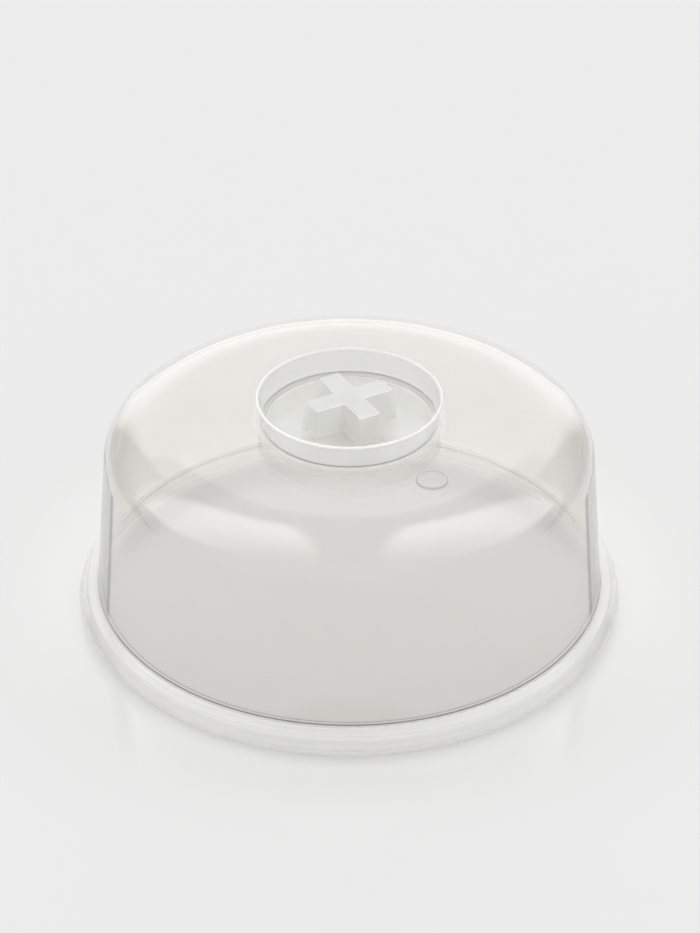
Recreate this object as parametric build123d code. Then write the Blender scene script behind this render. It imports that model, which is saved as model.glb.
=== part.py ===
from build123d import *
import math
import os

# Clear round humidity dome: a drafted wall with a beaded rim, and a turning vent knob in a well
# in the crown. Millimetres, +Z up. The origin is on the vertical axis, level with the face that
# the rim stands on. Angles are in degrees.

# Dome wall, shoulder and crown (outer surface)
WALL = 2.0                      # thickness of the shell
WALL_R0 = 121.9                 # radius the drafted wall would have at z = 0
WALL_DRAFT = 4.46               # lean of the wall
CORNER_Z = 82.5                 # where the wall ends and the corner starts
CORNER_R = 12.0
CORNER_END = 30.6               # slope where the corner meets the wide shoulder
SHOULDER_R = 60.0
CROWN_SLOPE = 1.2               # fall of the crown towards the shoulder

# Rim
LEDGE_R = 126.0                 # outer edge of the flat ledge above the bead
LEDGE_Z = 11.7
LEDGE_FILLET = 2.0              # between wall and ledge
NOSE_R = 130.64                 # corner of the bead before rounding, 130 mm after it
NOSE_Z = 6.0
NOSE_ROUND = 2.5
FOOT_R = 126.4                  # outer radius of the face that the dome stands on

# Well in the crown that the knob turns in
WELL_R = 41.3
SEAT_Z = 97.4                   # floor of the well
BORE_R = 4.55
BOSS_R = 6.6
BOSS_Z = 92.0                   # lower end of the boss round the bore
GUARD_R = (8.6, 10.2)           # guard ring round the retainer, with the stops in it
GUARD_Z = 89.6
HOLE_R = 1.8                    # vent holes in the floor of the well
HOLE_RADII = (12.5, 17.0)

# Round blank that stands up from the crown
BLANK_R = 7.25
BLANK_X, BLANK_Y = 37.6, -51.6
BLANK_RISE = 1.0

# Vent knob: a flared dish with a hollow cross in it
KNOB_WALL = 1.6
GRIP_ANGLE = 28.9               # direction of the first arm with the vent closed
DISH_GAP = 0.3                  # underside of the dish above the floor of the well
FLOOR = 1.5
DISH_R = 40.3                   # outer radius at the underside of the dish
DISH_FLARE = 13.3
DISH_RIM_Z = 113.2
CROSS_Z = 114.0
CROSS_DRAFT = 7.5
CROSS_CAP = 1.8                 # thickness of the top of the cross
ARM_HALF_LENGTH = 20.2          # at the top of the cross
ARM_HALF_WIDTH = 5.2
ARM_EDGE_R = 1.3
ARM_TOP_R = 1.0
POST_R = 4.5
POST_BORE_R = 2.7
POST_Z = 89.0
WINDOW_WIDTH = 5.0              # air outlets, low in the ends of the arms
WINDOW_HEIGHT = 2.0
OPEN_ANGLE = 45.0               # turn from closed to open

# Push-on retainer under the well
RETAINER_R = 8.3
RETAINER_Z = (89.8, 91.75)
RETAINER_PRESS = 0.05
TAB_R = 11.6
TAB_WIDTH = 4.0
TAB_PLAY = 0.6                  # angle left free at each stop

DISH_Z = SEAT_Z + DISH_GAP      # underside of the dish
FLOOR_Z = DISH_Z + FLOOR        # top of the floor of the dish
UNDER_Z = SEAT_Z - WALL         # underside of the well


def polar(angle, radius, centre=(0.0, 0.0)):
    """Point on a circle, at an angle from the first axis of the plane."""
    a = math.radians(angle)
    return (centre[0] + radius * math.cos(a), centre[1] + radius * math.sin(a))


def rod(radius, low, high):
    """Upright cylinder on the vertical axis."""
    return Pos(0, 0, low) * Cylinder(radius, high - low, align=(Align.CENTER, Align.CENTER, Align.MIN))


def tube(inner, outer, low, high):
    return rod(outer, low, high) - rod(inner, low, high)


def turned(section):
    """Solid of revolution from a section drawn with x as radius and y as height."""
    return revolve(Plane.XZ * section, Axis.Z)


def inner_corner(before, corner, after):
    """Where the corner of an outside line, drawn downwards, comes on the inside of the wall."""
    legs = (Vector(*corner) - Vector(*before), Vector(*after) - Vector(*corner))
    inward = [leg.normalized().rotate(Axis.Z, -90) for leg in legs]
    moved = Vector(*corner) + sum(inward, Vector()) * (WALL / (1 + inward[0].dot(inward[1])))
    return (moved.X, moved.Y)


def round_corner(face, corner, radius):
    """Rounds the corner of a flat face that lies nearest to a point."""
    vertex = min(face.vertices(), key=lambda v: math.dist((v.X, v.Y), corner))
    return fillet(vertex, radius)


def shoulder_arcs(inset):
    """End points and middles of the corner and shoulder arcs, moved inward by inset."""
    draft = math.radians(WALL_DRAFT)
    wall_end = (WALL_R0 - CORNER_Z * math.tan(draft), CORNER_Z)
    corner_centre = polar(180 + WALL_DRAFT, CORNER_R, wall_end)
    meet = 90 - CORNER_END
    top = 90 - CROWN_SLOPE
    shoulder_centre = polar(180 + meet, SHOULDER_R, polar(meet, CORNER_R, corner_centre))
    corner_r = CORNER_R - inset
    shoulder_r = SHOULDER_R - inset
    return (
        polar(WALL_DRAFT, corner_r, corner_centre),
        polar((WALL_DRAFT + meet) / 2, corner_r, corner_centre),
        polar(meet, corner_r, corner_centre),
        polar((meet + top) / 2, shoulder_r, shoulder_centre),
        polar(top, shoulder_r, shoulder_centre),
    )


def crown_z(radius, inset=0.0):
    """Height of the crown at a radius, moved inward by inset."""
    edge = shoulder_arcs(inset)[-1]
    return edge[1] + (edge[0] - radius) * math.tan(math.radians(CROWN_SLOPE))


def shell_line(inset, low_z, well_r):
    """Wall, corner, shoulder and crown from low_z up and in to the edge of the well."""
    draft = math.radians(WALL_DRAFT)
    wall_start, corner_mid, corner_end, shoulder_mid, shoulder_end = shoulder_arcs(inset)
    low = (WALL_R0 - low_z * math.tan(draft) - inset / math.cos(draft), low_z)
    well_edge = (well_r, crown_z(well_r, inset))
    edges = [
        Line(low, wall_start),
        ThreePointArc(wall_start, corner_mid, corner_end),
        ThreePointArc(corner_end, shoulder_mid, shoulder_end),
        Line(shoulder_end, well_edge),
    ]
    return edges, low, well_edge


def dome_section():
    """Half section of the dome: shell, hollow beaded rim and the well in the crown."""
    outer, outer_low, outer_edge = shell_line(0.0, LEDGE_Z, WELL_R)
    inner, inner_low, inner_edge = shell_line(WALL, LEDGE_Z - WALL, WELL_R + WALL)
    ledge, nose, foot = (LEDGE_R, LEDGE_Z), (NOSE_R, NOSE_Z), (FOOT_R, 0.0)
    inner_ledge = inner_corner(outer_low, ledge, nose)
    inner_nose = inner_corner(ledge, nose, foot)
    inner_foot = (inner_nose[0] - inner_nose[1] * (NOSE_R - FOOT_R) / NOSE_Z, 0.0)
    rim_corners = [inner_low, inner_ledge, inner_nose, inner_foot, foot, nose, ledge, outer_low]
    well_corners = [
        outer_edge, (WELL_R, SEAT_Z), (BORE_R, SEAT_Z), (BORE_R, UNDER_Z),
        (WELL_R + WALL, UNDER_Z), inner_edge,
    ]
    face = make_face((Curve() + outer + inner + [Polyline(rim_corners), Polyline(well_corners)]).edges())
    for corner, radius in (
        (outer_low, LEDGE_FILLET),
        (inner_low, LEDGE_FILLET + WALL),
        (inner_ledge, 0.5),
        (inner_nose, NOSE_ROUND - WALL),
        (inner_foot, 0.6),
        (foot, 0.6),
        (nose, NOSE_ROUND),
        (ledge, 1.4),
        (outer_edge, 0.8),
        ((WELL_R + WALL, UNDER_Z), 1.0),
    ):
        face = round_corner(face, corner, radius)
    return face


def stop_window():
    """Sector cut from the guard ring, in which the retainer's tab swings from stop to stop."""
    reach = GUARD_R[1] + 3.0
    half = OPEN_ANGLE / 2 + math.degrees(math.asin(TAB_WIDTH / 2 / GUARD_R[0])) + TAB_PLAY
    middle = GRIP_ANGLE + 90.0
    first, last = polar(middle - half, reach), polar(middle + half, reach)
    outline = [Line((0, 0), first), ThreePointArc(first, polar(middle, reach), last), Line(last, (0, 0))]
    sector = make_face((Curve() + outline).edges())
    return extrude(Pos(0, 0, GUARD_Z - 1) * sector, BOSS_Z - GUARD_Z + 1)


def blank():
    """Low round blank on the crown, with a softened top edge."""
    top = crown_z(math.hypot(BLANK_X, BLANK_Y)) + BLANK_RISE
    disc = rod(BLANK_R, top - WALL / 2 - BLANK_RISE, top)
    disc = fillet(disc.edges().sort_by(Axis.Z)[-1], 0.35)
    return Pos(BLANK_X, BLANK_Y, 0) * disc


def dome_cover():
    dome = turned(dome_section()) + blank()
    dome += tube(BORE_R, BOSS_R, BOSS_Z, UNDER_Z)
    dome += tube(*GUARD_R, GUARD_Z, UNDER_Z) - stop_window()
    for quarter in range(4):
        direction = GRIP_ANGLE + OPEN_ANGLE + 90 * quarter
        for radius in HOLE_RADII:
            dome -= Rot(0, 0, direction) * Pos(radius, 0, 0) * rod(HOLE_R, UNDER_Z - 1, SEAT_Z + 1)
    return dome


def dish_section():
    """Half section of the dish: flat floor, flared wall and rounded rim."""
    slope = math.tan(math.radians(DISH_FLARE))
    thick = KNOB_WALL / math.cos(math.radians(DISH_FLARE))
    rim_r = DISH_R + (DISH_RIM_Z - DISH_Z) * slope
    floor_r = DISH_R + FLOOR * slope - thick
    corners = [
        (0, DISH_Z), (DISH_R, DISH_Z), (rim_r, DISH_RIM_Z), (rim_r - thick, DISH_RIM_Z),
        (floor_r, FLOOR_Z), (0, FLOOR_Z),
    ]
    face = make_face(Polyline(*corners, close=True).edges())
    for corner, radius in ((corners[1], 0.8), (corners[2], 0.7), (corners[3], 0.7), (corners[4], 0.8)):
        face = round_corner(face, corner, radius)
    return face


def cross_outline(shrink, z):
    """Outline of the cross at height z, with its sides moved inward by shrink."""
    grow = (CROSS_Z - z) * math.tan(math.radians(CROSS_DRAFT)) - shrink
    length, width = ARM_HALF_LENGTH + grow, ARM_HALF_WIDTH + grow
    outline = Rectangle(2 * length, 2 * width) + Rectangle(2 * width, 2 * length)
    return Pos(0, 0, z) * fillet(outline.vertices(), ARM_EDGE_R)


def cross(shrink, low, high):
    """Drafted cross between two heights."""
    return loft([cross_outline(shrink, low), cross_outline(shrink, high)])


def grip():
    """Outside of the cross, with its top edges rounded."""
    solid = cross(0.0, DISH_Z, CROSS_Z)
    top_edges = solid.faces().sort_by(Axis.Z)[-1].edges()
    return fillet(top_edges, ARM_TOP_R)


def vent_knob():
    knob = turned(dish_section()) + grip()
    hollow_top = CROSS_Z - CROSS_CAP
    knob -= cross(KNOB_WALL, DISH_Z - 1, hollow_top)
    knob += tube(POST_BORE_R, POST_R, POST_Z, hollow_top + CROSS_CAP / 2)
    arm_end = ARM_HALF_LENGTH + (CROSS_Z - FLOOR_Z) * math.tan(math.radians(CROSS_DRAFT))
    window = Pos(arm_end - KNOB_WALL, 0, FLOOR_Z + WINDOW_HEIGHT / 2) * Box(6, WINDOW_WIDTH, WINDOW_HEIGHT)
    for quarter in range(4):
        knob -= Rot(0, 0, 90 * quarter) * window
    return Rot(0, 0, GRIP_ANGLE) * knob


def knob_retainer():
    """Washer pressed on the post, with the tab that meets the stops."""
    low, high = RETAINER_Z
    tab = Pos(TAB_R / 2, 0, (low + high) / 2) * Box(TAB_R, TAB_WIDTH, high - low)
    washer = rod(RETAINER_R, low, high) + tab
    washer -= rod(POST_R - RETAINER_PRESS, low - 1, high + 1)
    return Rot(0, 0, GRIP_ANGLE + 90 - OPEN_ANGLE / 2) * washer


os.makedirs("parts", exist_ok=True)
for node, solid in (
    ("dome_cover", dome_cover()),
    ("vent_knob", vent_knob()),
    ("knob_retainer", knob_retainer()),
):
    export_step(solid, f"parts/{node}.step")
    print(node, round(solid.volume), solid.bounding_box())
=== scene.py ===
import bpy
import math
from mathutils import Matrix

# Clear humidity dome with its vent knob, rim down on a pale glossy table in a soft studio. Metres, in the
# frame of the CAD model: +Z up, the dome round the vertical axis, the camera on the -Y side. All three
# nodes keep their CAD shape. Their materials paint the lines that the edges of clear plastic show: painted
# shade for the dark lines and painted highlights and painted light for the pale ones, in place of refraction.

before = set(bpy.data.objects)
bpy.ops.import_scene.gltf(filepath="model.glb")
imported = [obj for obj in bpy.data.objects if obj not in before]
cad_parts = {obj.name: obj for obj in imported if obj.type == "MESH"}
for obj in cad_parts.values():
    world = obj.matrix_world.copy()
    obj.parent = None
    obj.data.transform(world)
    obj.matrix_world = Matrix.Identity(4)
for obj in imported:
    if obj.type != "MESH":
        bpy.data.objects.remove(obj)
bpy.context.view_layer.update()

# Places on the dome. A pair is where a soft step starts and where it ends
WALL_FOOT_Z = 0.0139            # top of the rounding between wall and ledge
WALL_LEAN = 0.078               # how much nearer to the axis the wall is for each metre of height
WALL_MIDDLE = (0.1206, 0.1212)  # between the wall's two faces, as the radius that they would have at z = 0
WALL_ABOVE = (0.014, 0.018)     # heights where the plain wall starts
RIM_FROM = (0.1208, 0.1215)     # radii where the rim starts
RIM_BELOW = (0.0130, 0.0137)    # heights where it ends, just under the wall's foot
LEDGE_FROM = (0.0085, 0.0115)   # heights where the bead turns into the ledge
LEDGE_EDGE = 0.1262             # radius of the painted dark line along the ledge's outer edge
EDGE_HALF = 0.0005              # half width of the painted lines along edges
FOOT_HALF = 0.0007
CROWN_FROM = (0.099, 0.0995)    # heights between the crown's two faces at the blank
BLANK = (0.0376, -0.0516)       # centre of the raised blank
BLANK_RADIUS = 0.00725
WELL_RADIUS = 0.0425            # middle of the band of painted light round the well in the crown
WELL_HALF = 0.0045              # half width of that band
WELL_FROM = (0.094, 0.096)      # heights where that band starts

# Places on the knob
WELL_EDGE_Z = 0.1012                # where the dish goes down into the well
DISH_INSIDE = (0.038, 0.0385)       # radii just inside the dish's inner face at that height
DISH_OUTSIDE = (0.0398, 0.0408)     # between its inner and outer face
DISH_RIM_FROM = (0.1118, 0.1124)    # heights just under the top of the dish's rim
DISH_RIM_RADIUS = (0.0426, 0.0432)  # radii on that top
GRIP_FROM = (0.0995, 0.1010)        # heights just above the dish's floor
GRIP_RADIUS = (0.030, 0.032)        # radii beyond the grip's arms
GAP_HALF = 0.0006
ROUND_FROM = (0.28, 0.45)           # upward part of the normal where the painted highlight of a rounded edge starts
ROUND_TO = (0.90, 0.985)            # and where it ends

# Strength of the marks: painted shade, painted highlights and painted light
FOOT_SHADE = (0.36, 0.42)       # painted shade of the foot's line, on every face, and added on the outside
LEDGE_SHADE = 0.10
BLANK_SHADE = 0.22
LIMB_LINE_AT = (0.765, 0.035)       # slant of the painted dark line along the wall's side edge, and its half width
LIMB_LINE_SHADE = 0.42
LIMB_SHADE_FROM = (0.70, 0.80)       # slant beyond which the wall's side edge has painted shade all over
LIMB_SHADE_BEYOND = 0.17
RIM_PALE = (0.27, 0.54)         # painted highlight on the bead, on the ledge
WELL_PALE = 0.25
ROUND_PALE = 0.45
DISH_RIM_PALE = 0.85
GRIP_PALE = 0.05
GAP_SHADE = 0.75
GAP_INSIDE = 0.12               # share of that painted shade on the inside of the dish

# Plastic
SQUARE_ON = 0.042               # mirror share where the plastic is seen square
# PALE is the colour of the painted highlights and painted light, DARK that of the painted shade
PALE = (0.97, 0.97, 0.96)
DARK = (0.12, 0.12, 0.115)

# Studio
HORIZON = 0.847                 # linear brightness of the floor and what is behind it
FLOOR_SIDE = 8.0
FLOOR_DROP = 0.0001             # keeps the floor clear of the face that the dome stands on
FLOOR_ALBEDO = 0.545
FLOOR_ROUGHNESS = 0.05
FLOOR_GLOW = 0.23               # light that the floor gives by itself, as a light table does
RIM_GLOW = 0.115                # more of it in a ring round the rim, which softens the shade there
GLOW_FROM = (0.119, 0.127)      # radii between which that ring starts
GLOW_TO = (0.128, 0.180)        # and ends
MIRROR = (0.34, 0.15)           # share of the floor's brightness that is mirror, under the dome and round it
MIRROR_DROP = (0.118, 0.132)    # radii between which that share drops
MIRROR_TO = (0.140, 0.175)      # and where it fades out
GAIN = 1.35                     # brightness of the whole studio
PANEL = 1.3                     # brightness of the back panel, and of its lowest part
PANEL_LOW = 1.5
PANEL_FROM = (0.0, 0.05)        # part of the direction towards the back where the panel starts
PANEL_SIDE = (0.44, 0.60)       # its edges, as fractions of the distance behind
PANEL_TOP = (0.73, 0.81)
PANEL_LOW_TOP = (0.25, 0.45)
SIDES = 0.0                     # dark flags beside the panel
SIDES_FROM = (0.48, 0.60)       # their edges, as fractions of the distance behind
SIDES_TOP = (0.92, 1.08)
SOFTBOX = 2.7
BOX_INNER = (0.07, 0.14)        # edges of the two softboxes, as fractions of the height above
BOX_OUTER = (1.0, 1.5)
BOX_FRONT = (-0.1, 0.6)
BOX_BACK = (0.68, 0.86)
BOX_FROM = (0.0, 0.2)           # upward part of the direction where they start
CEILING = 0.75
FRONT = 0.85                    # behind the camera
FRONT_TO = (-0.2, 0.1)          # part of the direction towards the back where that ends

# Camera
CAMERA_PLACE = (0.0, -1.2898, 0.9295)
CAMERA_TILT = 33.553            # degrees down
CAMERA_TURN = -0.014
LENS, SENSOR = 126.44, 36.0     # millimetres
FAR_END = 100.0

NOT_ZERO = 0.001                # least divisor
CLEAR_LAYERS = 32               # faces of clear plastic that a ray may pass


class Graph:
    """Node tree of a material or world. Sockets and numbers mix freely in its sums."""

    def __init__(self, owner):
        owner.use_nodes = True
        self.nodes, self.links = owner.node_tree.nodes, owner.node_tree.links
        self.nodes.clear()

    def add(self, kind):
        return self.nodes.new(kind)

    def put(self, value, socket):
        """Set a socket to a number, or link another socket to it."""
        if isinstance(value, (int, float)):
            socket.default_value = value
        else:
            self.links.new(value, socket)

    def maths(self, operation, *values):
        node = self.add("ShaderNodeMath")
        node.operation = operation
        for value, socket in zip(values, node.inputs):
            self.put(value, socket)
        return node.outputs[0]

    def times(self, a, b):
        return self.maths("MULTIPLY", a, b)

    def plus(self, a, b):
        return self.maths("ADD", a, b)

    def minus(self, a, b):
        return self.maths("SUBTRACT", a, b)

    def most(self, first, *others):
        for other in others:
            first = self.maths("MAXIMUM", first, other)
        return first

    def distance(self, a, b):
        """Length of the hypotenuse over a and b."""
        return self.maths("SQRT", self.maths("MULTIPLY_ADD", a, a, self.times(b, b)))

    def fade(self, start, end, share):
        """From start to end as share goes from 0 to 1."""
        return self.plus(start, self.times(share, self.minus(end, start)))

    def step(self, value, low, high, at_low=0.0, at_high=1.0):
        """Smooth step of a value from at_low to at_high."""
        node = self.add("ShaderNodeMapRange")
        node.interpolation_type = "SMOOTHSTEP"
        for name, number in (("From Min", low), ("From Max", high), ("To Min", at_low), ("To Max", at_high)):
            node.inputs[name].default_value = number
        self.put(value, node.inputs["Value"])
        return node.outputs[0]

    def line(self, value, centre, half_width, strength=1.0):
        """Soft line where a value is near centre."""
        off = self.maths("ABSOLUTE", self.minus(value, centre))
        return self.step(off, 0.0, half_width, strength, 0.0)

    def split(self, vector):
        node = self.add("ShaderNodeSeparateXYZ")
        self.put(vector, node.inputs[0])
        return node.outputs

    def place(self):
        """Distance from the vertical axis and x, y, z of the shaded point."""
        x, y, z = self.split(self.add("ShaderNodeNewGeometry").outputs["Position"])
        return self.distance(x, y), x, y, z

    def leaf(self, kind, colour, roughness=None):
        """Shader of one colour."""
        node = self.add(kind)
        node.inputs["Color"].default_value = (*colour, 1)
        if roughness is not None:
            node.inputs["Roughness"].default_value = roughness
        return node.outputs[0]

    def blend(self, share, first, second):
        """Mix of two shaders; share is that of the second."""
        node = self.add("ShaderNodeMixShader")
        self.put(share, node.inputs[0])
        self.put(first, node.inputs[1])
        self.put(second, node.inputs[2])
        return node.outputs[0]

    def finish(self, kind, result):
        self.put(result, self.add(kind).inputs["Surface"])


def clear_plastic(name, marks, tint, milk, haze, edge_haze, roughness):
    """Clear moulded plastic with thin walls. It passes light straight, mirrors more at a slant and scatters
    a little in its haze. marks(graph, slant) gives the shares of pale diffuse, which paints highlights and
    light (and a little paleness on the grip), and of dark diffuse, which paints shade along its edges."""
    material = bpy.data.materials.new(name)
    graph = Graph(material)
    weight = graph.add("ShaderNodeLayerWeight")
    weight.inputs["Blend"].default_value = 0.5          # makes Facing 1 minus the cosine
    slant = weight.outputs["Facing"]
    # Schlick's formula for the mirror share
    shine = graph.maths("MULTIPLY_ADD", graph.maths("POWER", slant, 5.0), 1.0 - SQUARE_ON, SQUARE_ON)
    veil = graph.maths("MULTIPLY_ADD", graph.maths("POWER", slant, 3.0), edge_haze, haze)
    pale, shade = marks(graph, slant)
    scatter = graph.blend(0.5, graph.leaf("ShaderNodeBsdfDiffuse", milk),
                          graph.leaf("ShaderNodeBsdfTranslucent", milk))
    body = graph.blend(veil, graph.leaf("ShaderNodeBsdfTransparent", tint), scatter)
    # Painted highlights and painted light: pale diffuse where the marks ask for it
    body = graph.blend(pale, body, graph.leaf("ShaderNodeBsdfDiffuse", PALE))
    body = graph.blend(shine, body, graph.leaf("ShaderNodeBsdfGlossy", (1.0, 1.0, 1.0), roughness))
    # Painted shade: dark diffuse where the marks ask for it, in place of refraction lines
    body = graph.blend(shade, body, graph.leaf("ShaderNodeBsdfDiffuse", DARK))
    graph.finish("ShaderNodeOutputMaterial", body)
    return material


def dome_marks(graph, slant):
    """Painted highlight on the rim and painted light round the well; painted shade at the wall's foot, the
    ledge's edge, round the blank and along the wall's side edge.
    """
    radius, x, y, z = graph.place()
    outer_face = graph.step(graph.maths("MULTIPLY_ADD", z, WALL_LEAN, radius), *WALL_MIDDLE)
    back = graph.add("ShaderNodeNewGeometry").outputs["Backfacing"]
    outside = graph.times(outer_face, graph.minus(1.0, back))
    # Painted shade: a dark line in the crease at the wall's foot, stronger on the outer face
    foot_shade = graph.maths("MULTIPLY_ADD", outside, FOOT_SHADE[1], FOOT_SHADE[0])
    foot = graph.times(graph.line(z, WALL_FOOT_Z, FOOT_HALF), foot_shade)
    # Painted shade: a dark line along the ledge's outer edge
    ledge_edge = graph.line(radius, LEDGE_EDGE, EDGE_HALF, LEDGE_SHADE)
    # Painted shade: a dark ring round the raised blank's edge
    off_blank = graph.distance(graph.minus(x, BLANK[0]), graph.minus(y, BLANK[1]))
    blank_ring = graph.line(off_blank, BLANK_RADIUS, EDGE_HALF, BLANK_SHADE)
    blank = graph.times(blank_ring, graph.step(z, *CROWN_FROM))
    # Painted shade, which follows the view: a dark line and a darker band along the wall's side edge, in
    # place of refraction
    limb_shade = graph.step(slant, *LIMB_SHADE_FROM, 0.0, LIMB_SHADE_BEYOND)
    limb_shade = graph.most(graph.line(slant, *LIMB_LINE_AT, LIMB_LINE_SHADE), limb_shade)
    limb_shade = graph.times(limb_shade, graph.times(graph.step(z, *WALL_ABOVE), outside))
    # Painted highlight: the bead and ledge lighter than the clear plastic shows them
    rim = graph.times(graph.step(radius, *RIM_FROM), graph.step(z, *RIM_BELOW, 1.0, 0.0))
    rim = graph.times(rim, graph.step(z, *LEDGE_FROM, *RIM_PALE))
    # Painted light: a pale band on the crown round the well, which lifts the shade there
    well = graph.times(graph.step(z, *WELL_FROM), graph.line(radius, WELL_RADIUS, WELL_HALF, WELL_PALE))
    return graph.most(rim, well), graph.most(foot, ledge_edge, blank, limb_shade)


def knob_marks(graph, slant):
    """Painted highlights on the rounded edges and the dish's rim, a paler grip; painted shade where the dish
    goes down into the well.
    """
    radius, _, _, z = graph.place()
    upward = graph.split(graph.add("ShaderNodeNewGeometry").outputs["Normal"])[2]
    lean = graph.maths("ABSOLUTE", upward)
    # Painted highlights on the knob's rounded edges, picked by the upward part of the normal
    rounded = graph.times(graph.step(lean, *ROUND_FROM), graph.step(lean, *ROUND_TO, 1.0, 0.0))
    # Painted highlight: a bright line on the top of the dish's rim
    rim = graph.times(graph.step(z, *DISH_RIM_FROM), graph.step(radius, *DISH_RIM_RADIUS, 0.0, DISH_RIM_PALE))
    grip = graph.times(graph.step(z, *GRIP_FROM), graph.step(radius, *GRIP_RADIUS, GRIP_PALE, 0.0))
    # Painted shade: a dark line in the crease where the dish goes down into the well, weaker on the dish's
    # inside
    gap = graph.line(z, WELL_EDGE_Z, GAP_HALF, GAP_SHADE)
    gap = graph.times(gap, graph.step(radius, *DISH_OUTSIDE, GAP_INSIDE, 1.0))
    gap = graph.times(gap, graph.step(radius, *DISH_INSIDE))
    return graph.most(grip, graph.times(rounded, ROUND_PALE), rim), gap


def no_marks(graph, slant):
    """For a plain piece: neither painted highlight nor painted shade."""
    return 0.0, 0.0


def dress_nodes():
    """Give each CAD node its own clear plastic."""
    looks = {
        "dome_cover": clear_plastic(
            "clear_dome", dome_marks, tint=(0.970, 0.967, 0.955), milk=(0.93, 0.93, 0.90),
            haze=0.10, edge_haze=0.10, roughness=0.0),
        "vent_knob": clear_plastic(
            "clear_knob", knob_marks, tint=(0.968, 0.968, 0.96), milk=(0.95, 0.95, 0.945),
            haze=0.29, edge_haze=0.25, roughness=0.04),
        "knob_retainer": clear_plastic(
            "clear_retainer", no_marks, tint=(0.96, 0.96, 0.95), milk=(0.94, 0.94, 0.93),
            haze=0.28, edge_haze=0.25, roughness=0.05),
    }
    for name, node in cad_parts.items():
        node.data.materials.clear()
        node.data.materials.append(looks[name])


def floor_material():
    """Pale floor whose mirror is strong near the rim and fades away from it."""
    material = bpy.data.materials.new("pale_floor")
    graph = Graph(material)
    away = graph.place()[0]
    glow = graph.add("ShaderNodeEmission")
    rim_glow = graph.times(graph.step(away, *GLOW_FROM), graph.step(away, *GLOW_TO, RIM_GLOW, 0.0))
    graph.put(graph.plus(rim_glow, FLOOR_GLOW), glow.inputs["Strength"])
    matt = graph.add("ShaderNodeAddShader")
    graph.put(graph.leaf("ShaderNodeBsdfDiffuse", (FLOOR_ALBEDO,) * 3), matt.inputs[0])
    graph.put(glow.outputs[0], matt.inputs[1])
    # The mirrored panel is as bright as the floor
    gloss = graph.leaf("ShaderNodeBsdfGlossy", (HORIZON / (GAIN * PANEL),) * 3, FLOOR_ROUGHNESS)
    mirror = graph.times(graph.step(away, *MIRROR_DROP, *MIRROR), graph.step(away, *MIRROR_TO, 1.0, 0.0))
    graph.finish("ShaderNodeOutputMaterial", graph.blend(mirror, matt.outputs[0], gloss))
    return material


def make_floor():
    mesh = bpy.data.meshes.new("floor")
    corners = [(x * FLOOR_SIDE, y * FLOOR_SIDE, 0) for x, y in ((-1, -1), (1, -1), (1, 1), (-1, 1))]
    mesh.from_pydata(corners, [], [(0, 1, 2, 3)])
    mesh.materials.append(floor_material())
    floor = bpy.data.objects.new("floor", mesh)
    floor.location.z = -FLOOR_DROP
    bpy.context.scene.collection.objects.link(floor)


def make_world():
    """Soft studio: a bright panel behind, two overhead softboxes, dark sides. Cameras see only HORIZON."""
    world = bpy.data.worlds.new("studio")
    bpy.context.scene.world = world
    graph = Graph(world)
    step, times = graph.step, graph.times
    x, y, z = graph.split(graph.add("ShaderNodeTexCoord").outputs["Generated"])
    side = graph.maths("ABSOLUTE", x)
    # Back panel: fractions of the distance behind, so that its edges are straight
    behind = graph.most(y, NOT_ZERO)
    side_behind = graph.maths("DIVIDE", side, behind)
    up_behind = graph.maths("DIVIDE", z, behind)
    panel = times(step(side_behind, *PANEL_SIDE, 1.0, 0.0),
                  times(step(up_behind, *PANEL_TOP, 1.0, 0.0), step(y, *PANEL_FROM)))
    panel_light = step(up_behind, *PANEL_LOW_TOP, PANEL_LOW, PANEL)
    # Softboxes: fractions of the height above
    above = graph.most(z, NOT_ZERO)
    across = graph.maths("DIVIDE", side, above)
    along = graph.maths("DIVIDE", y, above)
    boxes = times(times(step(across, *BOX_INNER), step(across, *BOX_OUTER, 1.0, 0.0)),
                  times(times(step(along, *BOX_BACK, 1.0, 0.0), step(along, *BOX_FRONT)), step(z, *BOX_FROM)))
    # Everything else: ceiling, dark sides, front
    sides = times(step(side_behind, *SIDES_FROM), step(up_behind, *SIDES_TOP, 1.0, 0.0))
    lit = graph.plus(CEILING, times(sides, SIDES - CEILING))
    lit = graph.fade(lit, FRONT, step(y, *FRONT_TO, 1.0, 0.0))
    lit = graph.fade(lit, panel_light, panel)
    lit = times(graph.fade(lit, SOFTBOX, boxes), GAIN)
    to_camera = graph.add("ShaderNodeLightPath").outputs["Is Camera Ray"]
    light = graph.add("ShaderNodeBackground")
    graph.put(graph.fade(lit, HORIZON, to_camera), light.inputs["Strength"])
    graph.finish("ShaderNodeOutputWorld", light.outputs[0])


def make_camera():
    data = bpy.data.cameras.new("camera")
    data.sensor_width = SENSOR
    data.lens = LENS
    data.clip_end = FAR_END
    camera = bpy.data.objects.new("camera", data)
    camera.location = CAMERA_PLACE
    camera.rotation_euler = (math.radians(90 - CAMERA_TILT), 0.0, math.radians(CAMERA_TURN))
    bpy.context.scene.collection.objects.link(camera)
    bpy.context.scene.camera = camera


dress_nodes()
make_floor()
make_world()
make_camera()
bpy.context.scene.view_settings.view_transform = "Standard"
bpy.context.scene.cycles.transparent_max_bounces = CLEAR_LAYERS
